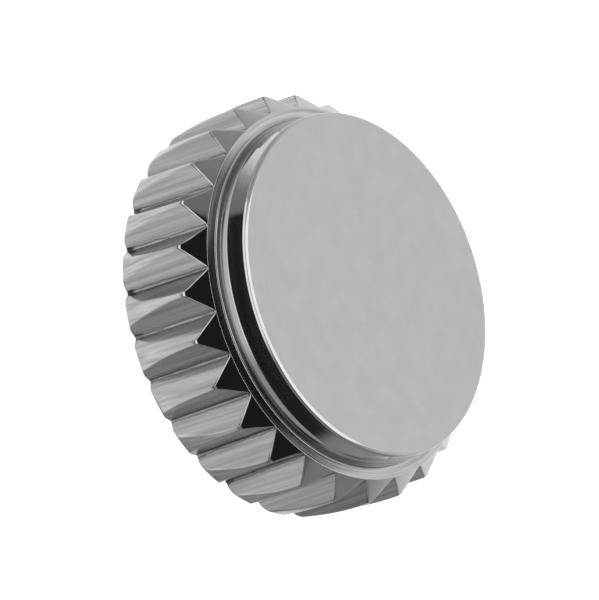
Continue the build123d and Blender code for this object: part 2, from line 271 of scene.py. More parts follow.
def add_range(tree, value, start, end, low=0.0, high=1.0, curve="LINEAR"):
    """Spread a value between start and end over the span from low to high."""
    spans = {"Value": value, "From Min": start, "From Max": end, "To Min": low, "To Max": high}
    node = add_node(tree, "ShaderNodeMapRange", spans)
    node.interpolation_type = curve
    return node.outputs["Result"]


def add_ramp(tree, value, stops):
    """Turn a value from 0 to 1 into a colour, from (place, colour) pairs."""
    node = add_node(tree, "ShaderNodeValToRGB", {"Fac": value})
    elements = node.color_ramp.elements
    while len(elements) < len(stops):
        elements.new(0.5)
    for element, (place, colour) in zip(elements, stops):
        element.position = place
        element.color = colour
    return node.outputs["Color"]


def add_noise(tree, place, scale, detail=2.0, roughness=0.5):
    """Cloudy noise, mostly near 0.5."""
    values = {"Vector": place, "Scale": scale, "Detail": detail, "Roughness": roughness}
    return add_node(tree, "ShaderNodeTexNoise", values).outputs["Fac"]


def stretch(tree, place, scale):
    """Squeeze a place, so that a pattern on it is stretched the other way."""
    values = {"Vector": place, "Scale": scale}
    return add_node(tree, "ShaderNodeMapping", values).outputs["Vector"]


def object_place(tree):
    """The place of each point on its piece."""
    return tree.nodes.new("ShaderNodeTexCoord").outputs["Object"]


def split(tree, place):
    """The three numbers of a place."""
    return add_node(tree, "ShaderNodeSeparateXYZ", {"Vector": place}).outputs


def grey(level):
    """A neutral colour."""
    return (level, level, level, 1.0)


print("middle grey", grey(0.5))

# %% [markdown]
# ## One shader for each material
# Metal, rubber and plastic all use one Principled shader. A value that is the same all over the
# piece is set on the shader's own input, and only what changes over the surface is fed by nodes.

# %% Helpers for shaders


def new_material(name, colour, metallic, roughness, **others):
    """A material with one Principled shader, and the values that are the same all over."""
    material = bpy.data.materials.new(name)
    material.use_nodes = True
    values = {"Base Color": colour, "Metallic": metallic, "Roughness": roughness, **others}
    for socket, value in values.items():
        material.node_tree.nodes["Principled BSDF"].inputs[socket].default_value = value
    return material


def feed_shader(tree, name, value):
    """Link a value to one of the shader's inputs."""
    tree.links.new(value, tree.nodes["Principled BSDF"].inputs[name])


def add_bump(tree, height, strength, depth):
    """Let a value stand up from the surface."""
    values = {"Height": height, "Strength": strength, "Distance": depth}
    feed_shader(tree, "Normal", add_node(tree, "ShaderNodeBump", values).outputs["Normal"])


def scale_colour(tree, factor):
    """Make the base colour lighter or darker from place to place."""
    old = tree.nodes["Principled BSDF"].inputs["Base Color"].links[0].from_socket
    scaled = add_node(tree, "ShaderNodeVectorMath", {0: old, "Scale": factor}, "SCALE")
    feed_shader(tree, "Base Color", scaled.outputs["Vector"])


print("materials so far", len(bpy.data.materials))

# %% [markdown]
# ## Tool marks
# What tells a polished face from a turned or a milled one is the fine marks that the tool left,
# and they run where it ran: round the axis on a lathe, along it on a milling cutter. So the noise
# is read by radius, angle and height, and stretched along one of them. It drives a very small
# bump, the roughness and a little of the shade.

# %% Tool marks
turned_spread = 1.5
milled_spread = (0.4, 0.0035, 0.03)
mark_depth = 0.002 * mm
mark_roughness = 0.6
mark_span = (0.3, 0.7)
shade_span = (0.36, 0.56)


def add_marks(material, across, detail, strength, rough, shade, round_axis=True):
    """Tool marks: noise stretched round the axis or along it, for bump, roughness and shade."""
    tree = material.node_tree
    x, y, height = split(tree, object_place(tree))
    across_square = calc(tree, "MULTIPLY_ADD", y, y, calc(tree, "MULTIPLY", x, x))
    turning = {
        "X": calc(tree, "SQRT", across_square), "Y": calc(tree, "ARCTAN2", y, x), "Z": height,
    }
    place = add_node(tree, "ShaderNodeCombineXYZ", turning).outputs["Vector"]
    if round_axis:
        scale = (across, turned_spread, across)
    else:
        scale = [across * spread for spread in milled_spread]
    marks = add_noise(tree, stretch(tree, place, scale), 1.0, detail, mark_roughness)
    add_bump(tree, marks, strength, mark_depth)
    feed_shader(tree, "Roughness", add_range(tree, marks, *mark_span, *rough))
    colour = tree.nodes["Principled BSDF"].inputs["Base Color"].default_value[:]
    dark = [part * (1 - shade) for part in colour[:3]] + [1.0]
    tint = add_ramp(tree, marks, ((shade_span[0], dark), (shade_span[1], colour)))
    feed_shader(tree, "Base Color", tint)


print("marks are up to", round(mark_depth / mm, 4), "mm deep")

# %% [markdown]
# ## Uneven steel, and painted shade in the flutes
# No steel is the same grey all over. Broad noise gives the polished face a faint haze and the
# flutes bands along their length. Their roots are painted darker: a painted shade along each root,
# ragged like a cutter's track, and painted shadow in small spots at the rear ends. The angle round
# the axis says how far a point is from a root, and noise makes it ragged.

# %% Bands, and painted shade in the flute roots
cloud_span = (0.35, 0.65)
cloud_detail = 3.0
wander_scale = 3500
wander_detail = 5
wander_width = 0.09
# Stops of the painted shade across a flute's root, by distance from its middle.
root_shade_stops = (
    (0.0, 0.95), (0.012, 0.9), (0.022, 0.42), (0.045, 0.5), (0.06, 0.92), (0.085, 0.8), (0.11, 1.0),
)
# Where painted shadow darkens spots at the rear ends of the roots, and how dark it gets.
rear_shade_heights = (0.25 * mm, 0.35 * mm)
rear_shade_spread = (0.035, 0.065)
rear_shade_chance = (0.42, 0.58)
rear_shade_chance_scale = 900
rear_shade_darkest = 0.12


def add_bands(material, size, low, high):
    """Broad bands or a faint haze that make the colour of a metal uneven."""
    tree = material.node_tree
    place = stretch(tree, object_place(tree), [1 / part for part in size])
    cloud = add_noise(tree, place, 1.0, cloud_detail)
    scale_colour(tree, add_range(tree, cloud, *cloud_span, low, high))


def add_root_shade(material, count, phase):
    """Painted shade along the roots of the flutes, and painted shadow in spots at their rear ends.
    """
    tree = material.node_tree
    x, y, height = split(tree, object_place(tree))
    flutes = calc(tree, "MULTIPLY", calc(tree, "ARCTAN2", y, x), count / (2 * pi))
    share = calc(tree, "FRACT", calc(tree, "ADD", flutes, phase))
    off_root = calc(tree, "ABSOLUTE", calc(tree, "SUBTRACT", share, 0.5))
    wander = add_noise(tree, object_place(tree), wander_scale, wander_detail)
    wander = calc(tree, "MULTIPLY", wander, wander_width)
    ragged = calc(tree, "SUBTRACT", wander, wander_width / 2)
    off_root = calc(tree, "ADD", off_root, ragged)
    # Painted shade along each root, then painted shadow in spots near the rear ends.
    line = add_ramp(tree, off_root, [(place, grey(level)) for place, level in root_shade_stops])
    chance = add_noise(tree, object_place(tree), rear_shade_chance_scale)
    above = add_range(tree, height, *rear_shade_heights)
    beside = add_range(tree, off_root, *rear_shade_spread)
    unshaded = calc(tree, "MAXIMUM", above, beside)
    unshaded = calc(tree, "MAXIMUM", unshaded, add_range(tree, chance, *rear_shade_chance))
    rear_shade = calc(tree, "ADD", calc(tree, "MULTIPLY", unshaded, 1 - rear_shade_darkest), rear_shade_darkest)
    scale_colour(tree, calc(tree, "MULTIPLY", line, rear_shade))


# These are the stops of the painted shade along the roots.
print("stops of the cutter line", len(root_shade_stops))

# %% [markdown]
# ## The four steel finishes
# The face, the wall and the bevels are polished like a mirror. Hidden pieces are left as the lathe
# left them. A buff doesn't reach into the corner at the foot of the boss, so the steel there keeps
# some of its turning marks, tinted darker than elsewhere: partly a painted shade in the corner. The
# flutes are milled, with marks from front to rear, and painted shade in their roots.

# %% Steel
steel_colour = (0.475, 0.475, 0.47, 1.0)
root_phase = 0.75
haze_size = 0.35 * mm
band_width = 0.09 * mm
band_length = 6 * mm

polished = new_material("polished_steel", steel_colour, metallic=1.0, roughness=0.06)
add_marks(polished, across=9000, detail=3.0, strength=0.03, rough=(0.04, 0.07), shade=0.015)
add_bands(polished, [haze_size] * 3, low=0.975, high=1.02)
turned = new_material("turned_steel", steel_colour, metallic=1.0, roughness=0.2)
add_marks(turned, across=22000, detail=4.0, strength=0.5, rough=(0.14, 0.28), shade=0.2)
# The corner's marks take a deeper tint than the turned steel's, partly a painted shade in the
# corner.
corner = new_material("corner_steel", steel_colour, metallic=1.0, roughness=0.2)
add_marks(corner, across=16000, detail=4.0, strength=0.4, rough=(0.15, 0.27), shade=0.35)
milled = new_material("milled_steel", steel_colour, metallic=1.0, roughness=0.2)
add_marks(
    milled, across=14000, detail=6.0, strength=0.5, rough=(0.10, 0.20), shade=0.22, round_axis=False
)
add_bands(milled, (band_width, band_width, band_length), low=0.80, high=1.12)
# Painted shade in the roots of the flutes, and painted shadow at their rear ends.
add_root_shade(milled, tooth_count, root_phase)
print("steel finishes", [m.name for m in bpy.data.materials])

# %% [markdown]
# ## Rubber, PTFE and wire
# Rubber and PTFE have no tool marks. Moulded rubber is faintly grainy, and its gloss comes and goes
# where grease was wiped on it. Cut PTFE is waxy: light goes a little way in, which a small
# subsurface share gives. Drawn spring wire has short scratches and a slightly brown, uneven tint.

# %% Rubber, PTFE and wire
grain_detail = 4
grain_depth = 0.1
patch_scale = 0.12


def add_grain(material, size, strength, rough, dark, light):
    """Fine grain for the bump, and a coarser unevenness for the roughness and the colour."""
    tree = material.node_tree
    place = object_place(tree)
    add_bump(tree, add_noise(tree, place, 1 / size, grain_detail), strength, size * grain_depth)
    patches = add_noise(tree, place, patch_scale / size, cloud_detail)
    feed_shader(tree, "Roughness", add_range(tree, patches, *cloud_span, *rough))
    tint = add_ramp(tree, patches, ((cloud_span[0], dark), (cloud_span[1], light)))
    feed_shader(tree, "Base Color", tint)


rubber = new_material("black_rubber", (0.025, 0.025, 0.026, 1.0), metallic=0.0, roughness=0.5)
add_grain(
    rubber, size=0.02 * mm, strength=0.5, rough=(0.32, 0.6),
    dark=(0.016, 0.016, 0.017, 1.0), light=(0.034, 0.034, 0.035, 1.0),
)
waxy = {"Subsurface Weight": 0.15, "Subsurface Scale": 0.05 * mm}
ptfe = new_material("white_ptfe", (0.82, 0.82, 0.80, 1.0), metallic=0.0, roughness=0.45, **waxy)
add_grain(
    ptfe, size=0.03 * mm, strength=0.3, rough=(0.36, 0.52),
    dark=(0.76, 0.76, 0.73, 1.0), light=(0.86, 0.86, 0.84, 1.0),
)
wire_steel = new_material("spring_steel", (0.45, 0.45, 0.44, 1.0), metallic=1.0, roughness=0.25)
add_grain(
    wire_steel, size=0.015 * mm, strength=0.4, rough=(0.16, 0.34),
    dark=(0.34, 0.33, 0.31, 1.0), light=(0.47, 0.47, 0.46, 1.0),
)
print("materials", [m.name for m in bpy.data.materials])

# %% [markdown]
# ## The head's rim
# The rim is a barrel-shaped blank with 27 V-shaped flutes. One tooth is enough: half a flute, the
# ridge, and half the next flute. Its outline is worked out from where the cutter's V meets the
# blank, so that columns of points follow the ridge's edges, and the reflections break cleanly
# there. A boolean cut would leave long thin triangles that spoil a mirror finish.

# %% Head, sizes
crown_radius = 3.4975 * mm
shelf_width = 0.233 * mm
lip_radius = 3.173 * mm
boss_radius = lip_radius - shelf_width
skirt_z = 0.15 * mm
shelf_z = face_z - 0.63 * mm
bevel_end_z = shelf_z - 0.33 * mm
crest_z = face_z - 1.12 * mm
barrel_curve = 7.0 * mm
rear_round = 0.13 * mm
flute_half_angle = radians(52)
floor_round = 0.05 * mm
floor_above_lip = 0.01 * mm
floor_rise = 0.05 * mm
half_pitch = pi / tooth_count
halvings = 40


def barrel_radius(height):
    """Radius of the barrel-shaped blank at a height."""
    return crown_radius - barrel_curve + sqrt(barrel_curve**2 - (height - crest_z) ** 2)


def floor_line(height):
    """Radius of the sharp bottom line of a flute at a height."""
    sharp_drop = floor_round * (1 / sin(flute_half_angle) - 1)
    start = lip_radius + floor_above_lip - sharp_drop
    return start + floor_rise * (shelf_z - height) / (shelf_z - skirt_z)


def flute_surface(height, angle):
    """Radius of the flute's V, round at its floor, at an angle from its middle."""
    sharp = floor_line(height)
    slope = tan(flute_half_angle)
    flank = sharp * slope / (slope * cos(angle) - sin(angle))
    middle = sharp + floor_round / sin(flute_half_angle)
    side = middle * sin(angle)
    if side > floor_round:
        return flank
    floor = middle * cos(angle) - sqrt(floor_round**2 - side**2)
    tangent_side = floor_round * cos(flute_half_angle)
    return floor if floor * sin(angle) < tangent_side else flank


def edge_angle(height, radius):
    """Half the angle that a flute takes out of the blank at a height, found by halving."""
    low = 0.0
    high = half_pitch
    if flute_surface(height, low) >= radius:
        return 0.0
    for halving in range(halvings):
        middle = (low + high) / 2
        if flute_surface(height, middle) < radius:
            low = middle
        else:
            high = middle
    return low


land_at_crest = half_pitch - edge_angle(crest_z, crown_radius)
print("land at the crest, degrees", round(degrees(2 * land_at_crest), 2))

# %% [markdown]
# ## One row of a tooth
# Every row has the same points, so that the loft's columns stay straight: nine across the land on
# top of the tooth, and twelve down each side to the middle of the flute, closer together where its
# floor is round. Rows without flutes spread the same points along a circle.

# %% Head, one row
land_shares = (0.0, 0.25, 0.5, 0.75, 0.93)
flute_shares = (0.97, 0.9, 0.75, 0.6, 0.45, 0.3, 0.2, 0.13, 0.09, 0.06, 0.03, 0.0)
plain_opening = half_pitch * 0.9


def tooth_outline(radius, height, fluted):
    """The points of one tooth at a height, from the middle of one flute to that of the next."""
    opening = edge_angle(height, radius) if fluted else plain_opening
    land_end = half_pitch - opening
    half = [(land_end * share, radius) for share in land_shares]
    for share in flute_shares:
        from_floor = opening * share
        depth = min(radius, flute_surface(height, from_floor)) if fluted else radius
        half.append((half_pitch - from_floor, depth))
    whole = [(-angle, depth) for angle, depth in reversed(half[1:])] + half
    return [Vector((depth * cos(angle), depth * sin(angle), height)) for angle, depth in whole]


def arc_rows(middle_radius, middle_z, size, start, end, steps):
    """Points (radius, height) on a small arc between two directions, in degrees."""
    for step in range(steps + 1):
        angle = radians(start + (end - start) * step / steps)
        yield middle_radius + size * cos(angle), middle_z + size * sin(angle)


rows = []


def add_rows(points, fluted=False):
    """Add (radius, height) points to the head's rows, which run from the face to the inside."""
    rows.extend((radius, height, fluted) for radius, height in points)


print("points in a row", len(tooth_outline(crown_radius, crest_z, True)))

# %% [markdown]
# ## The face, its edge and the wall
# The photograph shows a thin bright line round the face. So its edge is two small flats with tight
# rounds between them, as a buffed chamfer has. Below it the wall of the boss flares a little
# towards its foot, which bends the reflections into bands.

# %% Head, face and wall
face_rings = (0, 1.0, 2.0, 2.6, 2.8, 2.86)
edge_break = 0.045 * mm
edge_drop = 0.030 * mm
edge_small_round = 0.015 * mm
break_slope = 68
drop_slope = 22
wall_slope = 3
flare_height = 0.24 * mm
wall_top_radius = boss_radius - 0.005 * mm
wall_foot_radius = boss_radius + 0.012 * mm
shoulder_radius = boss_radius + 0.034 * mm
flare = (
    (-0.0006, 0.010), (0, 0), (0.0015, -0.006), (0.0050, -0.022), (0.0125, -0.070),
    (0.0180, -0.110), (0.0210, -0.140), (0.0220, -0.150),
)

add_rows((radius * mm, face_z) for radius in face_rings)
edge_out = edge_break * sin(radians(break_slope)) + edge_drop * sin(radians(drop_slope))
edge_out += edge_small_round * cos(radians(drop_slope))
edge_start = wall_top_radius - edge_out
middle_radius = edge_start
middle_z = face_z - edge_small_round
edge_arcs = (
    (90, break_slope, 3, edge_break), (break_slope, drop_slope, 3, edge_drop),
    (drop_slope, wall_slope, 2, 0),
)
for start, end, steps, flat in edge_arcs:
    add_rows(arc_rows(middle_radius, middle_z, edge_small_round, start, end, steps))
    middle_radius += flat * sin(radians(end))
    middle_z -= flat * cos(radians(end))
wall_top_radius, wall_top_z = rows[-1][:2]
wall_z = shelf_z + flare_height
add_rows([(wall_top_radius + 0.0005 * mm, wall_top_z - 0.01 * mm)])
add_rows((wall_foot_radius + out * mm, wall_z + up * mm) for out, up in flare)
print("face edge, mm", round(edge_start / mm, 3), "wall from", round(wall_top_radius / mm, 3))

# %% [markdown]
# ## The shelf, the lip, the bevel and the barrel
# A narrow shelf runs from the foot of the boss to the lip, and a bevel falls from the lip to the
# ridges of the rim. Handling has worn the tips of the teeth round, so a wide arc joins bevel and
# barrel. From the lip on, the flutes cut every row.

# %% Head, outside of the rim
foot_fillet = 0.03 * mm
fillet_steps = 8
shelf_start = 0.006 * mm
lip_land = 0.03 * mm
lip_round = 0.012 * mm
tip_round = 0.085 * mm
round_steps = 4
bevel_steps = 12
barrel_steps = 18
rear_steps = 8
rear_land = 0.02 * mm

fillet_middle = shoulder_radius + foot_fillet
add_rows(arc_rows(fillet_middle, shelf_z + foot_fillet, foot_fillet, 180, 270, fillet_steps))
add_rows([(fillet_middle + shelf_start, shelf_z), (lip_radius - lip_land, shelf_z)])
bevel_out = barrel_radius(bevel_end_z) - lip_radius
lip_slope = degrees(atan2(bevel_out, shelf_z - bevel_end_z))
lip_middle = lip_radius - lip_round * tan(radians(90 - lip_slope) / 2)
lip_arc = arc_rows(lip_middle, shelf_z - lip_round, lip_round, 90, lip_slope, round_steps)
add_rows(lip_arc, True)
bevel_shares = [step / bevel_steps for step in range(1, bevel_steps)]
bevel_drop = bevel_end_z - shelf_z
add_rows([(lip_radius + bevel_out * s, shelf_z + bevel_drop * s) for s in bevel_shares], True)
tip_z = bevel_end_z - tip_round * tan(radians(lip_slope) / 2)
tip_middle = barrel_radius(tip_z) - tip_round
add_rows(arc_rows(tip_middle, tip_z, tip_round, lip_slope, 0, round_steps), True)
barrel_end_z = skirt_z + rear_round
for step in range(1, barrel_steps + 1):
    height = tip_z + (barrel_end_z - tip_z) * step / barrel_steps
    add_rows([(barrel_radius(height), height)], True)
rear_middle = barrel_radius(barrel_end_z) - rear_round
add_rows(arc_rows(rear_middle, barrel_end_z, rear_round, 0, -90, rear_steps), True)
add_rows([(rear_middle - rear_land, skirt_z)], True)
print("bevel slope, degrees", round(90 - lip_slope, 1), "rows", len(rows))

# %% [markdown]
# ## The inside of the head, and all its teeth
# The skirt's mouth goes over the tube's flange, the recess takes the threaded sleeve, and a seat
# in its ceiling takes the pipe. The rows close on the axis at both ends. The tooth is turned to
# where the CAD model has one, and copied 27 times round.

# %% Head, inside and loft
skirt_face_radius = 3.15 * mm
mouth_radius = 2.32 * mm
mouth_chamfer = 0.08 * mm
recess_radius = 2.30 * mm
recess_step_z = 0.30 * mm
ceiling_z = 2.05 * mm
pipe_seat_radius = 1.0 * mm
pipe_seat_z = 2.25 * mm
first_tooth_angle = -pi / 2

add_rows([
    (skirt_face_radius, skirt_z), (mouth_radius + mouth_chamfer, skirt_z),
    (mouth_radius, skirt_z + mouth_chamfer), (mouth_radius, recess_step_z),
    (recess_radius, recess_step_z), (recess_radius, ceiling_z), (pipe_seat_radius, ceiling_z),
    (pipe_seat_radius, pipe_seat_z), (0, pipe_seat_z),
])
head = bmesh.new()
loft_rows(head, [tooth_outline(*row) for row in rows])
merge(head, merge_distance / 10)
bmesh.ops.rotate(
    head, verts=head.verts, cent=(0, 0, 0), matrix=Matrix.Rotation(first_tooth_angle, 3, "Z")
)
copy_round(head, tooth_count)
print("head faces", len(head.faces))

# %% [markdown]
# ## A finish for each surface of the head
# One piece of steel carries four finishes, so each face picks its own by where it lies and which
# way it looks: flanks and lands milled with painted shade in the roots, the corner at the foot of
# the boss unbuffed with a darker tint that is partly painted shade, the inside and the rear turned,
# and all the rest polished.

# %% Head, finish by face
head_finishes = [polished, turned, milled, corner]
flank_tilt = 0.4
corner_height = 0.14 * mm
face_depth = 0.01 * mm
skirt_depth = 0.001 * mm

merge(head, merge_distance / 10)
bmesh.ops.recalc_face_normals(head, faces=head.faces)
for face in head.faces:
    middle = face.calc_center_median()
    out = middle.xy.length
    on_flank = abs(face.normal.z) < flank_tilt and middle.z < shelf_z - lip_round
    by_height = shelf_z - lip_round / 4 < middle.z < shelf_z + corner_height
    inside = out < mouth_radius and middle.z < face_z - face_depth
    if out > lip_radius and (middle.z < bevel_end_z or on_flank):
        finish = milled
    elif by_height and out < lip_radius - lip_land:
        finish = corner
    elif inside or middle.z < skirt_z + skirt_depth:
        finish = turned
    else:
        finish = polished
    face.material_index = head_finishes.index(finish)
finish_piece("head_skin", head, "head", head_finishes, ["fluted_head"])

# %% [markdown]
# ## Screw threads
# A thread is cut by a tool that moves along while the piece turns, and `bmesh.ops.spin` can do the
# same: its `dvec` lifts the section a little at each step. The CAD thread is cut off square at both
# ends. A cutter runs in and out, so here the ridge shrinks into its wall over a third of a turn.

# %% Threads
flank_angle = radians(30)
thread_pitch = 0.35 * mm
thread_steps = 144
crest_soft = 0.012 * mm
run_out = 0.35
end_share = 0.01
sunk_share = 0.25


def cap_end(mesh, parts):
    """Close an open end with one face."""
    rim = [part for part in parts if isinstance(part, bmesh.types.BMEdge)]
    bmesh.ops.contextual_create(mesh, geom=rim)


def count_open(mesh):
    """How many edges belong to one face only."""
    return sum(1 for edge in mesh.edges if edge.is_boundary)


def wind_ridge(mesh, root, crest, crest_flat, pitch, bottom, top, phase=0):
    """Wind one thread ridge round the axis between two heights, in step with the CAD thread."""
    outward = 1 if crest > root else -1
    sunk = root - (crest - root) * sunk_share
    foot_half = crest_flat / 2 + abs(crest - sunk) * tan(flank_angle)
    first_z = bottom + foot_half
    turns = (top - bottom - 2 * foot_half) / pitch
    first_angle = 2 * pi * (pitch + foot_half - phase) / pitch
    shoulder = crest - outward * crest_soft
    shoulder_half = crest_flat / 2 + crest_soft * tan(flank_angle)
    crest_half = crest_flat / 2 - crest_soft / 2
    section = (
        (sunk, -foot_half), (shoulder, -shoulder_half), (crest, -crest_half),
        (crest, crest_half), (shoulder, shoulder_half), (sunk, foot_half),
    )
    spot = Matrix.Rotation(first_angle, 3, "Z")
    ridge = bmesh.new()
    points = [ridge.verts.new(spot @ Vector((radius, 0, first_z + off))) for radius, off in section]
    sides = [ridge.edges.new(pair) for pair in zip(points, points[1:] + points[:1])]
    steps = round(turns * thread_steps)
    far_end = spin(ridge, points + sides, turns, steps, pitch * turns / steps)
    cap_end(ridge, sides)
    cap_end(ridge, far_end)
    for point in ridge.verts:
        radius = point.co.xy.length
        along = (atan2(point.co.y, point.co.x) - first_angle) / (2 * pi)
        along += round((point.co.z - first_z) / pitch - along)
        share = min(1.0, (along + end_share) / run_out, (turns - along + end_share) / run_out)
        wanted = sunk + (radius - sunk) * max(0.0, share)
        point.co.x *= wanted / radius
        point.co.y *= wanted / radius
    print("thread ridge, turns", round(turns, 2), "open edges", count_open(ridge))
    wound = bpy.data.meshes.new("ridge")
    ridge.to_mesh(wound)
    ridge.free()
    mesh.from_mesh(wound)
    bpy.data.meshes.remove(wound)


print("thread pitch, mm", round(thread_pitch / mm, 3))

# %% [markdown]
# ## The case tube
# This is the fixed half of the crown. Its lower thread screws into the watch case, its flange
# stops on the case over a small seal, and its upper thread takes the crown. Its outline runs up
# the outside and down through the bore.

# %% Case tube, outline
bore_radius = 1.03 * mm
groove_radius = 1.13 * mm
groove_half = 0.12 * mm
groove_top = 0.20 * mm
tube_end = -1.45 * mm
tube_end_break = 0.012 * mm
register_z = -0.45 * mm
register_radius = 1.55 * mm
neck_z = 0.62 * mm
neck_radius = 1.73 * mm
tube_top = 1.74 * mm
seal_seat_z = 1.50 * mm
seal_seat_radius = 1.50 * mm
seal_bore_radius = 1.40 * mm
flange_radius = 2.15 * mm
flange_top = 0.26 * mm
flange_cut = 0.04 * mm
groove_inner = 1.74 * mm
groove_outer = 1.92 * mm
groove_depth = 0.10 * mm
thread_root = 1.86 * mm
case_root = 1.311 * mm

tube_outline = rounded([
    (case_root, tube_end), (case_root, register_z), (register_radius, register_z),
    (register_radius, 0), (groove_inner, 0), (groove_inner, groove_depth),
    (groove_outer, groove_depth), (groove_outer, 0), (flange_radius - flange_cut, 0),
    (flange_radius, flange_cut), (flange_radius, flange_top - flange_cut),
    (flange_radius - flange_cut, flange_top), (neck_radius, flange_top), (neck_radius, neck_z),
    (thread_root, neck_z), (thread_root, tube_top), (seal_seat_radius, tube_top),
    (seal_seat_radius, seal_seat_z), (seal_bore_radius, seal_seat_z), (seal_bore_radius, neck_z),
    (bore_radius, neck_z),
])
tube_outline += [
    (bore_radius, groove_top + 0.0005 * mm), (bore_radius, groove_top), (bore_radius, -0.4 * mm),
    (bore_radius, tube_end + tube_end_break), (bore_radius + tube_end_break, tube_end),
    (groove_radius, tube_end), (groove_radius + 0.02 * mm, tube_end),
]
tube_outline.append(tube_outline[0])
print("rows of the tube", len(tube_outline))

# %% [markdown]
# ## The tube's grooves and threads
# Six grooves in the bore are for the tool that drives the tube in, so it can't just be turned. One
# sixth is lofted, with a groove's width of points held further out in the bore, and copied round.
# Its two threads are wound last, as they are cut on a finished blank.

# %% Case tube, loft and threads
groove_count = 6
plain_start = 11.5
plain_steps = 7
shoulder_angle = radians(8.5)
case_crest = 1.5 * mm
case_crest_flat = 0.0595 * mm
tube_crest = 2.0 * mm
tube_crest_flat = 0.098 * mm
tube_thread_top = 1.70 * mm


def tube_row(radius, height):
    """One sixth of a circle, with a tool groove in its middle where the row lies in the bore."""
    edge = asin(groove_half / bore_radius)
    deep = asin(groove_half / groove_radius)
    plain_span = 180 / groove_count - plain_start
    plain = [
        radians(plain_start + plain_span * step / plain_steps) for step in range(plain_steps + 1)
    ]
    half = [0, deep / 2, deep, edge, shoulder_angle] + plain
    grooved = radius < groove_radius and height <= groove_top
    points = []
    for angle in [-a for a in reversed(half[1:])] + half:
        far = groove_radius if grooved and abs(angle) <= deep + 1e-6 else radius
        points.append(Vector((far * cos(angle), far * sin(angle), height)))
    return points


tube = bmesh.new()
loft_rows(tube, [tube_row(*row) for row in tube_outline])
copy_round(tube, groove_count)
merge(tube)
wind_ridge(tube, thread_root, tube_crest, tube_crest_flat, thread_pitch, neck_z, tube_thread_top)
wind_ridge(tube, case_root, case_crest, case_crest_flat, thread_pitch, tube_end, register_z)
finish_piece("tube_turned", tube, "tube", [turned], ["case_tube"], sharp_edge)

# %% [markdown]
# ## The threaded sleeve
# The crown's own thread isn't cut in the head but in a sleeve pressed into it. The ridge winds
# inside the wall, half a pitch away from the tube's ridge, so that the two threads interleave.

# %% Threaded sleeve
sleeve_root = 2.04 * mm
sleeve_crest = 1.90 * mm
sleeve_crest_flat = 0.0595 * mm
sleeve_pocket = 2.12 * mm
sleeve_end = 0.30 * mm
sleeve_top = 1.84 * mm

sleeve = bmesh.new()
turn_outline(sleeve, rounded([
    (sleeve_root, neck_z), (sleeve_pocket, neck_z), (sleeve_pocket, sleeve_end),
    (recess_radius, sleeve_end), (recess_radius, sleeve_top), (sleeve_root, sleeve_top),
]))
merge(sleeve)
wind_ridge(
    sleeve, sleeve_root, sleeve_crest, sleeve_crest_flat, thread_pitch, neck_z, tube_thread_top,
    phase=thread_pitch / 2,
)
finish_piece(
    "sleeve_turned", sleeve, "head", [turned], ["threaded_sleeve"], sharp_edge
)

# %% [markdown]
# ## Plain rings
# The pipe, the spring's seat, the gasket, the washer, the spacer and the retaining ring are all
# plain rings, so one table holds their radii, heights and edge rounds in millimetres, and one loop
# turns them. The CAD sizes are printed to compare.

# %% Plain rings
rings = (
    ("pipe_turned", 0.78, 1.0, -1.0, 2.25, 0.02, turned, "turned_steel", "head", "core_pipe"),
    ("seat_disc", 0.30, 0.775, 2.17, 2.25, 0.015, turned, "turned_steel", "head", "spring_seat"),
    ("gasket_cut", 1.02, 2.28, 1.84, 2.05, 0.03, rubber, "black_rubber", "head", "head_gasket"),
    ("washer_cut", 1.04, 2.0, 1.75, 1.83, 0.02, ptfe, "white_ptfe", "washer", "slip_washer"),
    ("spacer_cut", 1.03, 1.39, 0.995, 1.115, 0.02, ptfe, "white_ptfe", "tube", "tube_spacer"),
    (
        "retainer", 1.04, 1.5, 1.5, 1.74, 0.025, turned, "turned_steel", "tube",
        "tube_retaining_ring",
    ),
)


def cad_ring(node):
    """A CAD ring's inner and outer radius and its lowest and highest point, in millimetres."""
    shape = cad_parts[node]
    corners = [shape.matrix_world @ point.co for point in shape.data.vertices]
    reach = [corner.xy.length / mm for corner in corners]
    level = [corner.z / mm for corner in corners]
    sizes = (min(reach), max(reach), min(level), max(level))
    print("CAD", node, [round(size, 4) for size in sizes])
    return sizes


for name, inner, outer, bottom, top, edge, material, slot, body, node in rings:
    cad_ring(node)
    ring = bmesh.new()
    section = [(inner, bottom), (outer, bottom), (outer, top), (inner, top)]
    turn_outline(ring, rounded([(r * mm, z * mm) for r, z in section], edge * mm))
    finish_piece(name, ring, body, [material], [node], sharp_edge)

# %% [markdown]
# ## Moulded seals
# A seal is a round section spun round the axis. Its mould closes along the middle, and leaves a
# thin line of flash there. The sizes are read from the CAD rings, because a seal that is a hair
# too thick would touch its groove.

# %% Moulded seals


def stand_circle(mesh, radius, out, height, segments):
    """Draw the round section of a seal or a wire upright, away from the axis."""
    upright = Matrix.Translation((out, 0, height)) @ Matrix.Rotation(pi / 2, 4, "X")
    bmesh.ops.create_circle(mesh, cap_ends=False, segments=segments, radius=radius, matrix=upright)


seal_segments = 28
seal_steps = 144
flash_height = 0.006 * mm
flash_band = 0.02
seals = (
    ("lower_seal", "tube_o_ring_lower"), ("upper_seal", "tube_o_ring_upper"),
    ("neck_seal", "neck_o_ring"), ("flange_seal", "case_gasket"),
)
for name, node in seals:
    inner, outer, bottom, top = cad_ring(node)
    half = (top - bottom) / 2 * mm
    middle_r = (inner + outer) / 2 * mm
    middle_h = (bottom + top) / 2 * mm
    seal = bmesh.new()
    stand_circle(seal, half - flash_height, middle_r, middle_h, seal_segments)
    for point in seal.verts:
        if abs(point.co.z - middle_h) < half * flash_band:
            point.co.x += flash_height if point.co.x > middle_r else -flash_height
    spin(seal, seal.verts[:] + seal.edges[:], 1, seal_steps, use_merge=True)
    finish_piece(name, seal, "tube", [rubber], [node])

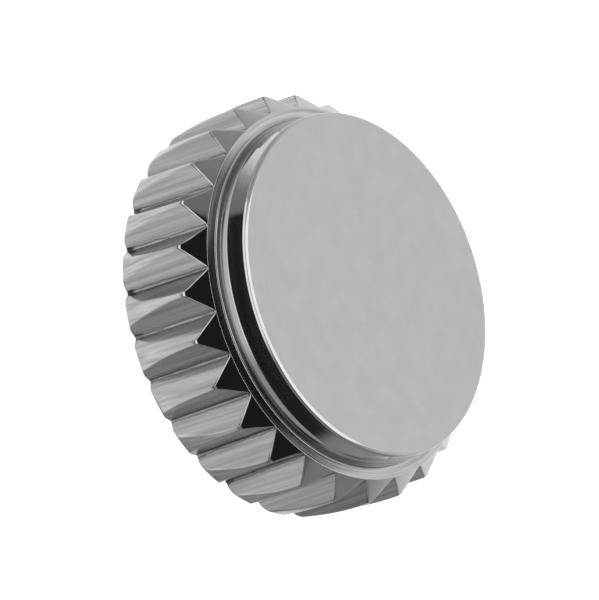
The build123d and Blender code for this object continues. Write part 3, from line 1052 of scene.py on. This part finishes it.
# %% [markdown]
# ## The stem holder
# The holder's square shank slides in the bush's square hole, so turning the head turns the stem.
# The square is milled from round bar, which leaves its corners round. One quarter is lofted and
# copied round, and a ridge is wound in the tapped hole. A row is the square's half width, or 0
# where the piece is round, its reach and a height.

# %% Stem holder
shank = (0.525, 0.69)
shank_tip = (0.51, 0.675)
shank_end = -1.90
tap_root = 0.41
tap_crest = 0.37 * mm
tap_crest_flat = 0.05 * mm
tap_pitch = 0.18 * mm
tap_bottom = -1.83 * mm
tap_top = -1.0 * mm
quarter_steps = 30
quarter_angles = [radians(90 * step / quarter_steps - 45) for step in range(quarter_steps + 1)]


def square_row(half, corner, height):
    """A quarter of a square whose corners are cut to a circle. The sizes are in millimetres."""
    points = []
    for angle in quarter_angles:
        far = (min(half / cos(angle), corner) if half else corner) * mm
        points.append(Vector((far * cos(angle), far * sin(angle), height * mm)))
    return points


def loft_square(rows_of_sizes):
    """Loft one quarter of a piece, and copy it round."""
    mesh = bmesh.new()
    loft_rows(mesh, [square_row(*sizes) for sizes in rows_of_sizes])
    copy_round(mesh, 4)
    return mesh


holder = loft_square([
    (0, 0, -0.90), (0, 0.30, -0.90), (0, tap_root, -0.98), (0, tap_root, -1.84),
    (0, 0.435, shank_end), (0, 0.5, shank_end), (*shank_tip, shank_end), (*shank, -1.885),
    (*shank, -1.2), (*shank, -0.645), (*shank, -0.64), (0, 0.70, -0.64), (0, 0.725, -0.64),
    (0, 0.74, -0.625), (0, 0.74, -0.455), (0, 0.725, -0.44), (0, 0.46, -0.44), (0, 0.45, -0.43),
    (0, 0.45, -0.21), (0, 0.43, -0.19), (0, 0, -0.19),
])
merge(holder)
wind_ridge(holder, tap_root * mm, tap_crest, tap_crest_flat, tap_pitch, tap_bottom, tap_top)
finish_piece("stem_holder", holder, "piston", [turned], ["stem_piston"], sharp_edge)

# %% [markdown]
# ## The end bush
# The bush closes the pipe and keeps the holder in. It is lofted in the same way, but here the
# square is the hole, a little wider than the shank, so that the holder can slide.

# %% End bush
hole = (0.555, 0.72)
hole_mouth = (0.565, 0.73)

bush = loft_square([
    (*hole_mouth, -1.10), (0, 0.76, -1.10), (0, 0.975, -1.10), (0, 0.993, -1.093),
    (0, 1.0, -1.075), (0, 1.0, -1.01), (0, 0.99, -1.0), (0, 0.785, -1.0), (0, 0.78, -0.99),
    (0, 0.78, -0.66), (0, 0.77, -0.65), (0, 0.745, -0.65), (*hole_mouth, -0.65), (*hole, -0.66),
    (*hole, -0.9), (*hole, -1.09), (*hole_mouth, -1.10),
])
finish_piece("bush_turned", bush, "head", [turned], ["end_bush"], sharp_edge)

# %% [markdown]
# ## The return spring
# Drawn wire is wound on an arbor: one closed turn at each end, so that the spring stands square,
# and six open turns between. So the wire's round section is spun with a lift at each step.

# %% Return spring
wire_radius = 0.0695 * mm
wire_segments = 12
coil_radius = 0.66 * mm
coil_start = -0.37 * mm
closed_pitch = 0.1568 * mm
open_pitch = 0.3594 * mm
open_turns = 6
coil_steps = 48

coil = bmesh.new()
stand_circle(coil, wire_radius, coil_radius, coil_start, wire_segments)
wire_end = coil.edges[:]
winding = coil.verts[:] + wire_end
for pitch, turns in ((closed_pitch, 1), (open_pitch, open_turns), (closed_pitch, 1)):
    winding = spin(coil, winding, turns, coil_steps * turns, pitch / coil_steps)
cap_end(coil, wire_end)
cap_end(coil, winding)
print("spring open edges", count_open(coil))
spring_piece = finish_piece(
    "spring_wound", coil, "head", [wire_steel], ["return_spring"], sharp_edge
)
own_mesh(spring_piece)

# %% [markdown]
# ## The surroundings
# A mirror-like metal shows nothing but its surroundings. The crown stood on a white table with a
# white backdrop, in a room that is dark on the lens's side, with a soft light overhead and a low
# strip of light beside the lens. The direction of each reflected ray gives its height above the
# rim and its angle round the crown, and a few ramps say how bright the room is there. Lamps alone
# would leave black gaps between them, and a plain white world would turn steel into paint.

# %% Directions in the room
world = bpy.data.worlds.new("studio")
bpy.context.scene.world = world
world.use_nodes = True
room = world.node_tree
room.nodes.clear()
direction = room.nodes.new("ShaderNodeTexCoord").outputs["Generated"]
ray_x, ray_y, ray_z = split(room, direction)
ray_height = calc(room, "ARCSINE", ray_z)
ray_round = calc(room, "ARCTAN2", ray_x, calc(room, "MULTIPLY", ray_y, -1.0))
round_left = calc(room, "MULTIPLY", ray_round, -1.0)
round_any = calc(room, "ABSOLUTE", ray_round)
print("nodes that read a ray's direction", len(room.nodes))

# %% [markdown]
# ## How bright the room is
# Each ramp holds pairs of a height in degrees and a brightness, from straight down to straight
# up, for one side of the room. Soft steps in the angle round the crown blend one side into the
# next. Low down the table is seen instead, lit on the left and shaded on the right.

# %% Brightness of the room
brightest = 3.0


def room_ramp(stops):
    """Brightness by height above the rim, from (degrees, brightness) pairs."""
    place = calc(room, "ADD", calc(room, "MULTIPLY", ray_height, 1 / pi), 0.5)
    shades = [((height + 90) / 180, grey(bright / brightest)) for height, bright in stops]
    return calc(room, "MULTIPLY", add_ramp(room, place, shades), brightest)


def room_mix(first, second, socket, start, end):
    """The first brightness before the start and the second past the end, both in degrees."""
    share = add_range(room, socket, radians(start), radians(end), curve="SMOOTHSTEP")
    return add_node(room, "ShaderNodeMix", {0: share, 2: first, 3: second}).outputs[0]


lens_left = room_ramp((
    (-90, 0.02), (-27, 0.02), (-25, 0.9), (-18, 0.85), (-16, 1.5), (27, 1.5), (32, 0.02),
    (90, 0.02),
))
lens_right = room_ramp((
    (-90, 0.02), (-27, 0.02), (-25, 0.5), (-18, 0.45), (-16, 0.35), (27, 0.2), (32, 0.02),
    (90, 0.02),
))
far_left = room_ramp((
    (-90, 0.27), (-27, 0.27), (-24, 0.8), (0, 0.6), (35, 0.27), (60, 0.6), (90, 0.8),
))
far_right = room_ramp(((-90, 0.3), (10, 0.35), (60, 0.3), (90, 0.5)))
backdrop = room_ramp(((-90, 1.0), (60, 1.0), (90, 0.7)))
table_light = 1.12
table_shade = 0.4
level = room_mix(lens_left, lens_right, ray_round, 5, 28)
level = room_mix(level, far_left, round_left, 69, 75)
level = room_mix(level, far_right, ray_round, 84, 100)
level = room_mix(level, backdrop, round_any, 118, 152)
table = room_mix(table_light, table_shade, ray_round, 28, 72)
table = room_mix(table, table_light, round_any, 130, 160)
level = room_mix(table, level, ray_height, -36.6, -35.4)
print("ramps in the room", sum(1 for node in room.nodes if node.type == "VALTORGB"))

# %% [markdown]
# ## The light overhead, and what the lens sees
# The light overhead is a soft disc, almost straight above and a little behind the crown. A dot
# product tells which rays point into it. The lens itself sees plain white.

# %% Light overhead
overhead_bright = 1.75
overhead_inner = radians(27)
overhead_outer = radians(31)
overhead = Vector((sin(radians(4)), sin(radians(18)), cos(radians(20)))).normalized()
facing = add_node(room, "ShaderNodeVectorMath", {0: direction, 1: overhead}, "DOT_PRODUCT")
lamp = add_range(
    room, facing.outputs["Value"], cos(overhead_outer), cos(overhead_inner), 0.0, overhead_bright,
    "SMOOTHSTEP",
)
lit = calc(room, "MAXIMUM", level, lamp)
studio = add_node(room, "ShaderNodeBackground", {"Color": grey(1.0), "Strength": lit})
white = add_node(room, "ShaderNodeBackground", {"Color": grey(1.0)})
seen = room.nodes.new("ShaderNodeLightPath").outputs["Is Camera Ray"]
choice = add_node(
    room, "ShaderNodeMixShader", {"Fac": seen, 1: studio.outputs[0], 2: white.outputs[0]}
)
add_node(room, "ShaderNodeOutputWorld", {"Surface": choice.outputs[0]})
bpy.context.scene.view_settings.view_transform = "Standard"
print("overhead light", overhead_bright)

# %% [markdown]
# ## The floor
# The table is one large plane just below the tube's end. It glows a little, to stay as pale as
# the background, and takes the crown's soft shadow. Its rear side is see-through, so that the
# views from below show the crown.

# %% Floor
floor_z = cad_box[0].z - 0.005 * mm
floor_size = 200 * mm
floor_mesh = bmesh.new()
bmesh.ops.create_grid(floor_mesh, x_segments=1, y_segments=1, size=floor_size)
bmesh.ops.translate(floor_mesh, verts=floor_mesh.verts, vec=(0, 0, floor_z))
floor = new_object("floor", floor_mesh)
glow = {"Emission Color": grey(1.0), "Emission Strength": 0.8}
floor_material = new_material("pale_floor", grey(0.9), metallic=0.0, roughness=0.9, **glow)
net = floor_material.node_tree
upper = net.nodes["Principled BSDF"].outputs[0]
lower = net.nodes.new("ShaderNodeBsdfTransparent").outputs[0]
from_below = net.nodes.new("ShaderNodeNewGeometry").outputs["Backfacing"]
side = add_node(net, "ShaderNodeMixShader", {"Fac": from_below, 1: upper, 2: lower})
net.links.new(side.outputs[0], net.nodes["Material Output"].inputs["Surface"])
floor.data.materials.append(floor_material)
floor.visible_glossy = False
print("floor height, mm", round(floor_z / mm, 3))
